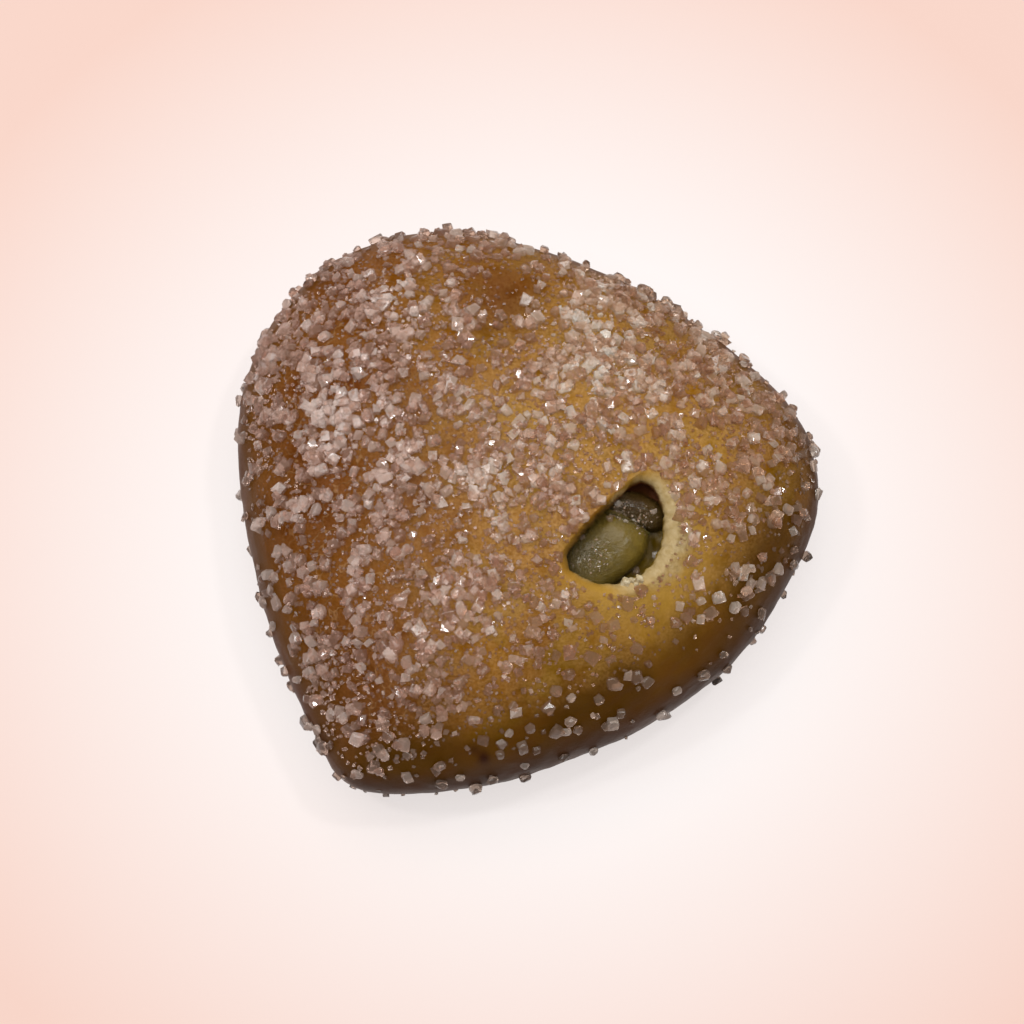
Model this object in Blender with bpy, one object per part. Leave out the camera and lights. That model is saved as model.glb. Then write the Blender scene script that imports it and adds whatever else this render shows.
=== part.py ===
"""Apple turnover: a puffed, three-cornered pastry coated in coarse sugar.

A round vent in its top shows the apple filling, which runs through the pocket inside.
Metres, +Z up. The origin is the middle of the flat base, and -Y is the front.
"""

import math
from collections.abc import Callable
from dataclasses import dataclass

import bmesh
import bpy
import numpy as np
from mathutils import Euler, Matrix, Vector

MM = 0.001

# ---- Pastry ------------------------------------------------------------------------
HEIGHT = 35.5 * MM  # from the table to the crown
WIDEST_LEVEL = 13.0 * MM  # the plan outline is reached at this height
BASE_INSET = 9.0 * MM  # the flat base stands in from the outline by this much
CROWN_PLAN_POWER = 2.2  # higher is flatter on top
CROWN_RISE_POWER = 1.9  # higher is steeper at the shoulder

# The plan is a rounded triangle: three corner arcs, counterclockwise, each given by its
# centre and radius, and three wide side arcs that touch the corner arcs they join.
PLAN_CORNERS = (
    (25.8 * MM, 3.3 * MM, 26.6 * MM),
    (-15.2 * MM, 14.7 * MM, 37.2 * MM),
    (-26.9 * MM, -42.7 * MM, 8.9 * MM),
)
PLAN_SIDE_RADII = (101.6 * MM, 128.0 * MM, 78.2 * MM)
# The front side sags in near the sharp corner and swells out near the round one:
# bearing, outward offset and half spread.
PLAN_SWELLS = (
    (math.radians(277), -1.1 * MM, math.radians(14)),
    (math.radians(322), 0.9 * MM, math.radians(14)),
)
# Low mounds and hollows of the baked crust: x, y, height and spread.
CRUST_SWELLS = (
    (8.0 * MM, 12.0 * MM, 0.9 * MM, 13.0 * MM),
    (-28.0 * MM, 18.0 * MM, 0.8 * MM, 11.0 * MM),
    (-14.0 * MM, -4.0 * MM, -0.9 * MM, 9.0 * MM),
    (-22.0 * MM, -28.0 * MM, 0.7 * MM, 9.0 * MM),
    (34.0 * MM, -6.0 * MM, 0.6 * MM, 7.0 * MM),
    (1.0 * MM, -24.0 * MM, -0.5 * MM, 8.0 * MM),
)

# ---- Vent --------------------------------------------------------------------------
VENT_CENTRE = (15.4 * MM, -9.9 * MM)
VENT_CORNERS = (
    (4.5 * MM, 6.5 * MM, 2.4 * MM),
    (-5.7 * MM, -4.8 * MM, 3.1 * MM),
    (1.7 * MM, -3.0 * MM, 4.4 * MM),
)
VENT_SIDE_RADII = (68.0 * MM, 10.4 * MM, 11.2 * MM)
LIP_NARROW = 1.1 * MM  # how far the rounded lip reaches outward at the back left
LIP_WIDE = 2.6 * MM  # and at the front right, where the dough tore open
LIP_WIDE_BEARING = math.radians(-35)
LIP_DEPTH = 0.8  # of the lip's reach
LIP_SWELL = 0.7 * MM  # the crust puffs up round the vent by this much

# ---- Pocket and filling --------------------------------------------------------------
CRUST = 4.6 * MM
CRUST_AT_VENT = 2.6 * MM
VENT_THINNING = 7.0 * MM  # the crust reaches its full thickness this far from the vent
POCKET_WALL = 10.0 * MM
POCKET_PLAN_POWER = 4.0  # the ceiling stays close under the crust, then drops at the wall
POCKET_WIDEST_LEVEL = 13.0 * MM
POCKET_FLOOR = 5.0 * MM
POCKET_INSET = 8.0 * MM
CLEARANCE = 0.6 * MM  # between the filling and the crust round it
SYRUP_DROP = 4.2 * MM  # the filling sinks by this much under the vent
SYRUP_SLOPE = 7.0 * MM  # over this distance, half of it outside the vent's edge
PIECE_CLEARANCE = 0.35 * MM  # between an apple piece and the filling it lies in

# ---- Sugar ---------------------------------------------------------------------------
SUGAR_SEED = 7
SUGAR_COUNT = 272
SUGAR_TRIES = 16000
SUGAR_LARGEST = 2.9 * MM
SUGAR_SMALLEST = 1.9 * MM
SUGAR_SIZE_PLAY = 0.9  # a crystal is at least this share of the size it was meant to be
SUGAR_HALF_WIDTH = (0.34, 0.46)  # of a crystal's length, least and most
SUGAR_HALF_THICKNESS = (0.28, 0.40)
SUGAR_CORNER_SHIFT = 0.72  # each corner of a crystal may be drawn in to this share
SUGAR_LEAN = 0.5  # radians that a crystal may lean away from the crust
SUGAR_SUNK = 0.28  # share of a crystal's thickness that is under the crust
SUGAR_SPACING = 0.62  # of two crystals' summed lengths, between their middles
SUGAR_LOWEST = 3.5 * MM  # no crystal sits nearer to the table than this
SUGAR_VENT_MARGIN = 2.6 * MM
SUGAR_ON_SIDE = 0.45  # how likely a crystal sticks on the side, against 1 on the top
SUGAR_TOP_SLOPE = 0.5  # a face whose normal rises this much counts as the top
# Where the sugar is thin: x, y, spread and the share that is missing.
SUGAR_BARE = (
    (-4.0 * MM, 34.0 * MM, 8.0 * MM, 0.75),
    (26.0 * MM, -19.0 * MM, 7.0 * MM, 0.75),
    (12.0 * MM, -24.0 * MM, 7.0 * MM, 0.55),
    (2.0 * MM, -11.0 * MM, 5.0 * MM, 0.6),
    (29.0 * MM, 6.0 * MM, 4.0 * MM, 0.4),
    (-38.0 * MM, -6.0 * MM, 6.0 * MM, 0.35),
    (22.0 * MM, -34.0 * MM, 12.0 * MM, 0.85),
    (-10.0 * MM, -46.0 * MM, 10.0 * MM, 0.6),
)

# ---- Mesh fineness ---------------------------------------------------------------------
COLUMNS = 48
OUTLINE_SAMPLES = 1441
SIDE_SHARE = 0.3  # of a shell's height coordinate, up to the widest level
SKIN_ROWS = (5, 12)  # on the side and over the crown
POCKET_ROWS = (3, 6)
LIP_ROWS = 3
POOL_ROWS = 5
SLOPE_STEP = 0.001  # of a shell's coordinates, for measuring its slope


@dataclass
class ApplePiece:
    """A soft-cornered block of cooked apple."""

    name: str
    centre: tuple
    half_size: tuple
    turn: tuple  # rotation in degrees about X, Y and Z
    boxiness: float  # 2 is an ellipsoid, higher is squarer


APPLE_PIECES = (
    ApplePiece(
        "apple_piece_front",
        (13.2 * MM, -12.0 * MM, 26.7 * MM),
        (8.4 * MM, 5.5 * MM, 4.3 * MM),
        (10, 0, 40),
        2.6,
    ),
    ApplePiece(
        "apple_piece_back",
        (18.6 * MM, -4.6 * MM, 27.0 * MM),
        (6.2 * MM, 3.3 * MM, 3.5 * MM),
        (0, 14, -14),
        2.5,
    ),
)


# ======================================================================================
# Plan outlines
# ======================================================================================
def arc_points(centre, radius, start, end, steps=40):
    """Points along an arc, counterclockwise from angle start to angle end."""
    if end < start:
        end += 2 * math.pi
    angle = np.linspace(start, end, steps, endpoint=False)
    return np.column_stack(
        (centre[0] + radius * np.cos(angle), centre[1] + radius * np.sin(angle))
    )


def side_centre(corner, following, side_radius):
    """Centre of the wide arc that touches two corner arcs from outside them both."""
    start, end = np.array(corner[:2]), np.array(following[:2])
    reach_start = side_radius - corner[2]
    reach_end = side_radius - following[2]
    span = np.linalg.norm(end - start)
    along = (end - start) / span
    foot = (reach_start**2 - reach_end**2 + span**2) / (2 * span)
    inward = np.array((-along[1], along[0]))
    return start + along * foot + inward * math.sqrt(reach_start**2 - foot**2)


def rounded_triangle(corners, side_radii):
    """Points of a smooth outline of three corner arcs and three side arcs."""
    count = len(corners)
    centres = [
        side_centre(corners[i], corners[(i + 1) % count], side_radii[i])
        for i in range(count)
    ]
    points = []
    for i, (x, y, radius) in enumerate(corners):
        here = np.array((x, y))
        following = np.array(corners[(i + 1) % count][:2])
        start = math.atan2(*(here - centres[i - 1])[::-1])
        turn = math.atan2(*(here - centres[i])[::-1])
        end = math.atan2(*(following - centres[i])[::-1])
        points.append(arc_points(here, radius, start, turn))
        points.append(arc_points(centres[i], side_radii[i], turn, end))
    return np.concatenate(points)


def polar_radius(outline, bearing):
    """Distance from (0, 0) to the outline at each bearing."""
    angle = np.arctan2(outline[:, 1], outline[:, 0])
    return np.interp(
        bearing, angle, np.hypot(outline[:, 0], outline[:, 1]), period=2 * math.pi
    )


def angle_between(a, b):
    """Difference of two angles, from -pi to pi."""
    return (a - b + math.pi) % (2 * math.pi) - math.pi


PLAN_OUTLINE = rounded_triangle(PLAN_CORNERS, PLAN_SIDE_RADII)
VENT_OUTLINE = rounded_triangle(VENT_CORNERS, VENT_SIDE_RADII)


def plan_radius(bearing):
    """Distance from the origin to the pastry's widest outline."""
    radius = polar_radius(PLAN_OUTLINE, bearing)
    for middle, offset, spread in PLAN_SWELLS:
        radius = radius + offset * np.exp(
            -((angle_between(bearing, middle) / spread) ** 2)
        )
    return radius


def outline_shares():
    """Bearings round the outline, and the share of its length up to each of them."""
    bearing = np.linspace(0, 2 * math.pi, OUTLINE_SAMPLES)
    radius = plan_radius(bearing)
    x, y = radius * np.cos(bearing), radius * np.sin(bearing)
    length = np.concatenate(((0,), np.cumsum(np.hypot(np.diff(x), np.diff(y)))))
    return bearing, length / length[-1]


BEARINGS, BEARING_SHARES = outline_shares()


def bearing_at(along):
    """Bearing of the point a share along the outline's length."""
    return np.interp(along % 1.0, BEARING_SHARES, BEARINGS)


# ======================================================================================
# Heights over the plan
# ======================================================================================
def lerp(a, b, t):
    """The value a share t of the way from a to b."""
    return a + (b - a) * t


def dome(x, y, margin, rise, plan_power):
    """Height of a crown over its own edge, which lies margin inside the outline."""
    share = np.hypot(x, y) / (plan_radius(np.arctan2(y, x)) - margin)
    share = np.minimum(share, 1.0)
    return rise * (1 - share**plan_power) ** (1 / CROWN_RISE_POWER)


def vent_distance(x, y):
    """How far a point lies outside the vent's edge, measured from the vent's middle."""
    dx, dy = x - VENT_CENTRE[0], y - VENT_CENTRE[1]
    return np.hypot(dx, dy) - polar_radius(VENT_OUTLINE, np.arctan2(dy, dx))


def crust_relief(x, y):
    """Low mounds and hollows, and the swelling round the vent."""
    relief = LIP_SWELL * np.exp(-((np.maximum(vent_distance(x, y), 0) / CRUST) ** 2))
    for centre_x, centre_y, height, spread in CRUST_SWELLS:
        away = np.hypot(x - centre_x, y - centre_y)
        relief = relief + height * np.exp(-((away / spread) ** 2))
    share = np.minimum(np.hypot(x, y) / plan_radius(np.arctan2(y, x)), 1.0)
    return relief * (1 - share**4)


def top_height(x, y):
    """Height of the outer crust over a point of the plan."""
    crown = dome(x, y, 0, HEIGHT - WIDEST_LEVEL, CROWN_PLAN_POWER)
    return WIDEST_LEVEL + crown + crust_relief(x, y)


def crust_thickness(x, y):
    """The crust is thinner where it was stretched open at the vent."""
    share = np.clip(vent_distance(x, y) / VENT_THINNING, 0, 1)
    return lerp(CRUST_AT_VENT, CRUST, share)


def pocket_ceiling(x, y, clearance=0.0):
    """Height of the pocket's ceiling, or of the filling that stays clear of it."""
    rise = top_height(x, y) - crust_thickness(x, y) - clearance - POCKET_WIDEST_LEVEL
    margin = POCKET_WALL + clearance
    return POCKET_WIDEST_LEVEL + dome(x, y, margin, rise, POCKET_PLAN_POWER)


def filling_top(x, y):
    """Height of the filling: clear of the pocket's ceiling, and lower under the vent."""
    share = np.clip(0.5 - vent_distance(x, y) / SYRUP_SLOPE, 0, 1)
    return pocket_ceiling(x, y, CLEARANCE) - SYRUP_DROP * share**2 * (3 - 2 * share)


# ======================================================================================
# Shells: rounded sides and a crown, from a flat bottom to the vent
# ======================================================================================
def lip_reach(bearing):
    """How far the vent's rounded lip reaches outward at each bearing."""
    facing = 0.5 + 0.5 * np.cos(bearing - LIP_WIDE_BEARING)
    return lerp(LIP_NARROW, LIP_WIDE, facing)


def vent_rim(bearing, reach):
    """Plan point at a distance outside the vent's edge."""
    radius = polar_radius(VENT_OUTLINE, bearing) + reach
    return VENT_CENTRE[0] + radius * np.cos(bearing), VENT_CENTRE[1] + radius * np.sin(bearing)


@dataclass
class Shell:
    """A closed surface with coordinates: along runs round it, rise up to the vent."""

    margin: float  # inside the pastry's outline
    bottom: float
    widest_level: float
    bottom_inset: float
    height: Callable  # of the crown, over a point of the plan
    reach: Callable  # of the crown's inner edge, outside the vent's edge

    def place(self, along, rise):
        """The points of the surface at its coordinates, each of them from 0 to 1."""
        bearing = bearing_at(along)
        side = np.clip(rise / SIDE_SHARE, 0, 1)
        crown = np.clip((rise - SIDE_SHARE) / (1 - SIDE_SHARE), 0, 1)
        droop = (1 - side) * math.pi / 2
        radius = plan_radius(bearing) - self.margin
        radius = radius - self.bottom_inset * (1 - np.cos(droop))
        rim_x, rim_y = vent_rim(bearing, self.reach(bearing))
        outward = np.cos(crown * math.pi / 2)
        x = lerp(rim_x, radius * np.cos(bearing), outward)
        y = lerp(rim_y, radius * np.sin(bearing), outward)
        low = lerp(self.widest_level, self.bottom, np.sin(droop))
        z = np.where(crown > 0, self.height(x, y), low)
        return np.stack((x, y, z), axis=-1)

    def rows(self, side_rows, crown_rows):
        """Loops of points from the bottom up to the vent."""
        rises = np.concatenate(
            (
                np.linspace(0, SIDE_SHARE, side_rows, endpoint=False),
                np.linspace(SIDE_SHARE, 1, crown_rows + 1),
            )
        )
        along = np.arange(COLUMNS) / COLUMNS
        return [self.place(along, np.full(COLUMNS, rise)) for rise in rises]

    def slope(self, along, rise):
        """Outward normals, not of unit length: their length is the local area."""
        ahead = self.place(along + SLOPE_STEP, rise) - self.place(along - SLOPE_STEP, rise)
        above = self.place(along, rise + SLOPE_STEP) - self.place(along, rise - SLOPE_STEP)
        return np.cross(ahead, above)


SKIN = Shell(0.0, 0.0, WIDEST_LEVEL, BASE_INSET, top_height, lip_reach)
POCKET = Shell(
    POCKET_WALL, POCKET_FLOOR, POCKET_WIDEST_LEVEL, POCKET_INSET, pocket_ceiling, np.zeros_like
)
FILLING = Shell(
    POCKET_WALL + CLEARANCE,
    POCKET_FLOOR + CLEARANCE,
    POCKET_WIDEST_LEVEL,
    POCKET_INSET,
    filling_top,
    np.zeros_like,
)


def lip_rows():
    """Loops of the vent's rounded lip, from the top surface down to the vent's wall."""
    bearing = bearing_at(np.arange(COLUMNS) / COLUMNS)
    reach = lip_reach(bearing)
    start = top_height(*vent_rim(bearing, reach))
    made = []
    for turn in np.linspace(0, math.pi / 2, LIP_ROWS + 1)[1:]:
        x, y = vent_rim(bearing, reach * (1 - math.sin(turn)))
        made.append(np.stack((x, y, start - reach * LIP_DEPTH * (1 - math.cos(turn))), -1))
    return made


def pool_rows():
    """Loops of the filling's surface from the vent's edge in towards its middle."""
    bearing = bearing_at(np.arange(COLUMNS) / COLUMNS)
    rim_x, rim_y = vent_rim(bearing, 0)
    made = []
    for share in np.arange(1, POOL_ROWS) / POOL_ROWS:
        x, y = lerp(rim_x, VENT_CENTRE[0], share), lerp(rim_y, VENT_CENTRE[1], share)
        made.append(np.stack((x, y, filling_top(x, y)), -1))
    return made


# ======================================================================================
# Meshes
# ======================================================================================
def material(name, colour, roughness):
    """A plain, non-metallic Principled material."""
    made = bpy.data.materials.new(name)
    made.use_nodes = True
    shader = made.node_tree.nodes["Principled BSDF"]
    shader.inputs["Base Color"].default_value = (*colour, 1)
    shader.inputs["Roughness"].default_value = roughness
    shader.inputs["Metallic"].default_value = 0
    return made


def add_object(name, mesh, finish):
    """Links a mesh to the scene as an object with one material."""
    mesh.materials.append(finish)
    made = bpy.data.objects.new(name, mesh)
    bpy.context.scene.collection.objects.link(made)
    return made


def mesh_from(bm, name):
    """Turns a bmesh into a mesh whose faces point out."""
    bmesh.ops.recalc_face_normals(bm, faces=bm.faces)
    mesh = bpy.data.meshes.new(name)
    bm.to_mesh(mesh)
    bm.free()
    return mesh


def lofted_mesh(name, rows):
    """A closed mesh through loops of points, capped at the first and the last."""
    bm = bmesh.new()
    loops = [[bm.verts.new(point) for point in row] for row in rows]
    for lower, upper in zip(loops, loops[1:]):
        for i in range(COLUMNS):
            following = (i + 1) % COLUMNS
            bm.faces.new((lower[i], lower[following], upper[following], upper[i]))
    bm.faces.new(loops[0][::-1])
    bm.faces.new(loops[-1])
    return mesh_from(bm, name)


def apple_piece_mesh(piece, growth=0.0):
    """A soft-cornered block, grown by a distance on all sides, in its place."""
    bm = bmesh.new()
    bmesh.ops.create_icosphere(bm, subdivisions=3, radius=1)
    half = [size + growth for size in piece.half_size]
    turn = Euler([math.radians(angle) for angle in piece.turn]).to_matrix()
    for vert in bm.verts:
        direction = vert.co.normalized()
        reach = sum(abs(part) ** piece.boxiness for part in direction)
        point = direction * reach ** (-1 / piece.boxiness)
        point = Vector(part * size for part, size in zip(point, half))
        vert.co = turn @ point + Vector(piece.centre)
    return mesh_from(bm, piece.name)


def crystal_mesh(rng, size):
    """An irregular sugar crystal: the hull of a block's eight shifted corners."""
    width = rng.uniform(*SUGAR_HALF_WIDTH)
    half = np.array((0.5, width, rng.uniform(*SUGAR_HALF_THICKNESS))) * size
    bm = bmesh.new()
    for corner in np.ndindex(2, 2, 2):
        sign = np.array(corner) * 2 - 1
        bm.verts.new(sign * half * rng.uniform(SUGAR_CORNER_SHIFT, 1.0, 3))
    bmesh.ops.convex_hull(bm, input=bm.verts)
    return mesh_from(bm, "crystal"), half[2]


# ======================================================================================
# Sugar
# ======================================================================================
def sugar_density(points, upward):
    """How likely a crystal sticks at each point of the crust, from 0 to 1."""
    x, y, z = points.T
    density = lerp(SUGAR_ON_SIDE, 1.0, np.clip(upward / SUGAR_TOP_SLOPE, 0, 1))
    density *= np.clip(z / WIDEST_LEVEL, 0, 1)
    density *= (z > SUGAR_LOWEST) & (vent_distance(x, y) > SUGAR_VENT_MARGIN)
    for centre_x, centre_y, spread, missing in SUGAR_BARE:
        away = np.hypot(x - centre_x, y - centre_y)
        density *= 1 - missing * np.exp(-((away / spread) ** 2))
    return density


def sugar_places():
    """Places on the crust with their normals and sizes, largest first, all apart."""
    rng = np.random.default_rng(SUGAR_SEED)
    along, rise, chance = rng.random((3, SUGAR_TRIES))
    points, slopes = SKIN.place(along, rise), SKIN.slope(along, rise)
    area = np.linalg.norm(slopes, axis=1)
    normals = slopes / area[:, None]
    sticks = chance * area.max() < area * sugar_density(points, normals[:, 2])
    kept, sizes = [], []
    for pick in np.flatnonzero(sticks):
        size = lerp(SUGAR_LARGEST, SUGAR_SMALLEST, len(kept) / SUGAR_COUNT)
        away = np.linalg.norm(points[kept] - points[pick], axis=1)
        if np.all(away > (np.array(sizes) + size) * SUGAR_SPACING):
            kept.append(pick)
            sizes.append(size)
        if len(kept) == SUGAR_COUNT:
            break
    return points[kept], normals[kept], sizes


def add_crystals(finish):
    """One object for each crystal, part sunk in the crust, in their own collection."""
    rng = np.random.default_rng(SUGAR_SEED)
    sugar = bpy.data.collections.new("sugar")
    bpy.context.scene.collection.children.link(sugar)
    for number, (point, normal, size) in enumerate(zip(*sugar_places())):
        mesh, half_thickness = crystal_mesh(rng, size * rng.uniform(SUGAR_SIZE_PLAY, 1.0))
        mesh.materials.append(finish)
        lean = Euler((*rng.uniform(-SUGAR_LEAN, SUGAR_LEAN, 2), rng.uniform(0, 2 * math.pi)))
        turn = Vector(normal).to_track_quat("Z", "Y").to_matrix() @ lean.to_matrix()
        middle = point + normal * half_thickness * (1 - 2 * SUGAR_SUNK)
        crystal = bpy.data.objects.new(f"crystal_{number:03d}", mesh)
        crystal.matrix_world = Matrix.Translation(middle) @ turn.to_4x4()
        sugar.objects.link(crystal)
    return sugar


# ======================================================================================
# The parts
# ======================================================================================
def apply_modifier(target, name):
    """Applies one modifier to an object."""
    with bpy.context.temp_override(object=target, active_object=target):
        bpy.ops.object.modifier_apply(modifier=name)


def make_pastry():
    """The crust with its vent and pocket, and the larger sugar crystals fused on."""
    crust_finish = material("baked_crust", (0.36, 0.17, 0.05), 0.45)
    sugar_finish = material("sugar", (0.78, 0.70, 0.64), 0.25)
    rows = SKIN.rows(*SKIN_ROWS) + lip_rows() + POCKET.rows(*POCKET_ROWS)[::-1]
    pastry = add_object("pastry", lofted_mesh("pastry", rows), crust_finish)
    sugar = add_crystals(sugar_finish)
    union = pastry.modifiers.new("fuse_sugar", "BOOLEAN")
    union.operation = "UNION"
    union.operand_type = "COLLECTION"
    union.collection = sugar
    union.solver = "EXACT"
    apply_modifier(pastry, union.name)
    for crystal in list(sugar.objects):
        bpy.data.objects.remove(crystal)
    bpy.data.collections.remove(sugar)


def connected(start):
    """All vertices that edges join to the starting one."""
    found = {start}
    front = [start]
    while front:
        vert = front.pop()
        fresh = {edge.other_vert(vert) for edge in vert.link_edges} - found
        found |= fresh
        front.extend(fresh)
    return found


def drop_scraps(target):
    """Keeps the largest shell of a mesh and drops the loose bits that a cut leaves."""
    bm = bmesh.new()
    bm.from_mesh(target.data)
    left = set(bm.verts)
    shells = []
    while left:
        shell = connected(next(iter(left)))
        shells.append(shell)
        left -= shell
    largest = max(shells, key=len)
    scraps = [vert for vert in bm.verts if vert not in largest]
    bmesh.ops.delete(bm, geom=scraps, context="VERTS")
    bm.to_mesh(target.data)
    bm.free()


def press_in(target, piece, finish):
    """Hollows the target where an apple piece lies against it."""
    cutter_mesh = apple_piece_mesh(piece, PIECE_CLEARANCE)
    cutter = add_object(piece.name + "_socket", cutter_mesh, finish)
    cut = target.modifiers.new(cutter.name, "BOOLEAN")
    cut.operation = "DIFFERENCE"
    cut.object = cutter
    cut.solver = "EXACT"
    apply_modifier(target, cut.name)
    bpy.data.objects.remove(cutter)
    drop_scraps(target)


def make_filling():
    """The filling, and the apple pieces that show in the vent and lie in it."""
    filling_finish = material("apple_filling", (0.15, 0.12, 0.02), 0.25)
    piece_finish = material("cooked_apple", (0.20, 0.16, 0.05), 0.2)
    rows = FILLING.rows(*POCKET_ROWS) + pool_rows()
    filling = add_object("apple_filling", lofted_mesh("apple_filling", rows), filling_finish)
    for number, piece in enumerate(APPLE_PIECES):
        lump = add_object(piece.name, apple_piece_mesh(piece), piece_finish)
        press_in(filling, piece, filling_finish)
        for pressing in APPLE_PIECES[number + 1 :]:
            press_in(lump, pressing, piece_finish)


def main():
    """Builds the whole turnover."""
    for old in list(bpy.data.objects):
        bpy.data.objects.remove(old)
    make_pastry()
    make_filling()


main()
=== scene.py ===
"""Looks of the apple turnover: glazed crust, sugar crystals, apple in its syrup.

The crust follows the same named sizes as the part, with a finer mesh and relief, and
the coarse crystals stand where the part has them. Metres, +Z up, -Y is the front.
"""

import math
from collections.abc import Callable
from dataclasses import dataclass

import bmesh
import bpy
import numpy as np
from mathutils import Euler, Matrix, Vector
from mathutils.bvhtree import BVHTree


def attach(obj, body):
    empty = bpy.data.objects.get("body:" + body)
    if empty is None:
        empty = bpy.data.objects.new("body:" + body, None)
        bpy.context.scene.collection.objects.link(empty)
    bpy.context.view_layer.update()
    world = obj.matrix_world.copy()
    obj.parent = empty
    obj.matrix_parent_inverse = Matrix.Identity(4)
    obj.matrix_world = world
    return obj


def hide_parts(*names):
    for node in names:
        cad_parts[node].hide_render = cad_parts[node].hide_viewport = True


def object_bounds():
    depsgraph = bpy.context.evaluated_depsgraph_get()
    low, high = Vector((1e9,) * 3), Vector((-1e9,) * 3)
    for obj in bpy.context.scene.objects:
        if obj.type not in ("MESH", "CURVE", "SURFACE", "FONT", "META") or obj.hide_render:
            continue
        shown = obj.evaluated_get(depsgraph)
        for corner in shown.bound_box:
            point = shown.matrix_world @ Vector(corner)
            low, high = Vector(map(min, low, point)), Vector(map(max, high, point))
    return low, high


MM = 0.001


def mm(*lengths):
    """Lengths given in millimetres, also in rows."""
    return tuple(mm(*part) if isinstance(part, tuple) else part * MM for part in lengths)


def spot_rows(*rows):
    """Soft round spots from x, y and spread in millimetres, and strength."""
    return tuple((x * MM, y * MM, spread * MM, strength) for x, y, spread, strength in rows)


# ---- Camera, floor and light ----
CAMERA_TARGET = mm(-2.82, -1.75, 16)
CAMERA_ELEVATION = math.radians(75)
CAMERA_DISTANCE = 546.0 * MM
CAMERA_LENS = 107.3  # mm, on a sensor of 36 mm
FLOOR_REACH = 3.0
FLOOR_DROP = 0.2 * MM  # keeps the floor clear of the part's base
FLOOR_FADE = mm(55, 125)  # distances between which the floor turns pinker
FLOOR_GLOW = 0.7  # share of its light that the floor gives off itself

# ---- Pastry, as in the part ----
HEIGHT = 35.5 * MM
WIDEST_LEVEL = 13.0 * MM
BASE_INSET = 9.0 * MM
CROWN_PLAN_POWER = 2.2
CROWN_RISE_POWER = 1.9
PLAN_CORNERS = mm((25.8, 3.3, 26.6), (-15.2, 14.7, 37.2), (-26.9, -42.7, 8.9))
PLAN_SIDE_RADII = mm(101.6, 128, 78.2)
PLAN_SWELLS = (
    (math.radians(277), -1.1 * MM, math.radians(14)),
    (math.radians(322), 0.9 * MM, math.radians(14)),
)
CRUST_SWELLS = mm(  # x, y, spread and height
    (8, 12, 13, 0.9),
    (-28, 18, 11, 0.8),
    (-14, -4, 9, -0.9),
    (-22, -28, 9, 0.7),
    (34, -6, 7, 0.6),
    (1, -24, 8, -0.5),
)

# ---- Vent, pocket and filling, as in the part ----
VENT_CENTRE = mm(15.4, -9.9)
VENT_CORNERS = mm((4.5, 6.5, 2.4), (-5.7, -4.8, 3.1), (1.7, -3, 4.4))
VENT_SIDE_RADII = mm(68, 10.4, 11.2)
LIP_NARROW = 1.1 * MM
LIP_WIDE = 2.6 * MM
LIP_WIDE_BEARING = math.radians(-35)
LIP_DEPTH = 0.8
LIP_SWELL = 0.7 * MM
CRUST = 4.6 * MM
CRUST_AT_VENT = 2.6 * MM
VENT_THINNING = 7.0 * MM
POCKET_WALL = 10.0 * MM
POCKET_PLAN_POWER = 4.0
POCKET_WIDEST_LEVEL = 13.0 * MM
POCKET_FLOOR = 5.0 * MM
POCKET_INSET = 8.0 * MM
CLEARANCE = 0.6 * MM
SYRUP_DROP = 4.2 * MM
SYRUP_SLOPE = 7.0 * MM
PIECE_CLEARANCE = 0.35 * MM

# ---- Mesh fineness ----
OUTLINE_SAMPLES = 1441
SIDE_SHARE = 0.3
SLOPE_STEP = 0.001
CRUST_COLUMNS = 480
SKIN_ROWS = (22, 96)
LIP_ROWS = 12
POCKET_ROWS = (4, 14)
FILLING_COLUMNS = 144
FILLING_ROWS = (4, 24)
POOL_ROWS = 34
APPLE_SUBDIVISIONS = 6

# ---- Sugar ----
SUGAR_SIZE_PLAY = 0.9
SUGAR_HALF_WIDTH = (0.34, 0.46)
SUGAR_HALF_THICKNESS = (0.28, 0.40)
SUGAR_CORNER_SHIFT = 0.72
SUGAR_LEAN = 0.5
SUGAR_SUNK = 0.28
SUGAR_LOWEST = 3.5 * MM
SUGAR_VENT_MARGIN = 2.6 * MM
SUGAR_ON_SIDE = 0.45
SUGAR_TOP_SLOPE = 0.5
SUGAR_BARE = spot_rows(
    (-4, 34, 8, 0.75),
    (26, -19, 7, 0.75),
    (12, -24, 7, 0.55),
    (2, -11, 5, 0.6),
    (29, 6, 4, 0.4),
    (-38, -6, 6, 0.35),
    (22, -34, 12, 0.85),
    (-10, -46, 10, 0.6),
)


@dataclass
class SugarKind:
    """Crystals of one size class and how they are scattered."""

    name: str
    seed: int
    count: int
    tries: int
    largest: float
    smallest: float
    spacing: float = 0.0  # share of two crystals' sizes that keeps them apart
    bevel: float = 0.0  # share of a crystal's length
    chips: int = 6  # corners added to the eight of a box
    frost: float = 0.9  # the highest tint away from the frosted places
    in_film: bool = False  # spread like the melted film, not in clumps


COARSE = SugarKind("sugar_coarse", 7, 272, 16000, 2.9 * MM, 1.9 * MM, 0.62, 0.15)
SUGAR_LAYERS = (
    SugarKind("sugar_medium", 11, 1100, 8000, 2.9 * MM, 2.1 * MM, 0.30, 0.12),
    SugarKind("sugar_small", 13, 1500, 10000, 2.2 * MM, 1.5 * MM, 0.27, 0.12),
    SugarKind("sugar_fine", 17, 7000, 30000, 1.3 * MM, 0.5 * MM, frost=0.7),
    SugarKind(
        "sugar_dust", 19, 12000, 34000, 0.8 * MM, 0.35 * MM, chips=0, frost=0.4, in_film=True
    ),
)
FILM_AVOIDS = 0.25  # how much the film keeps away from the bare places
FILM_OFF_POOR = 0.8  # share of the film that is missing where the sugar is poor
FILM_OFF_SIDES = 1.6  # how soon the film ends where the crust turns down
SUGAR_BASE = 0.38  # density of the sugar away from the rich and poor places
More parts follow.
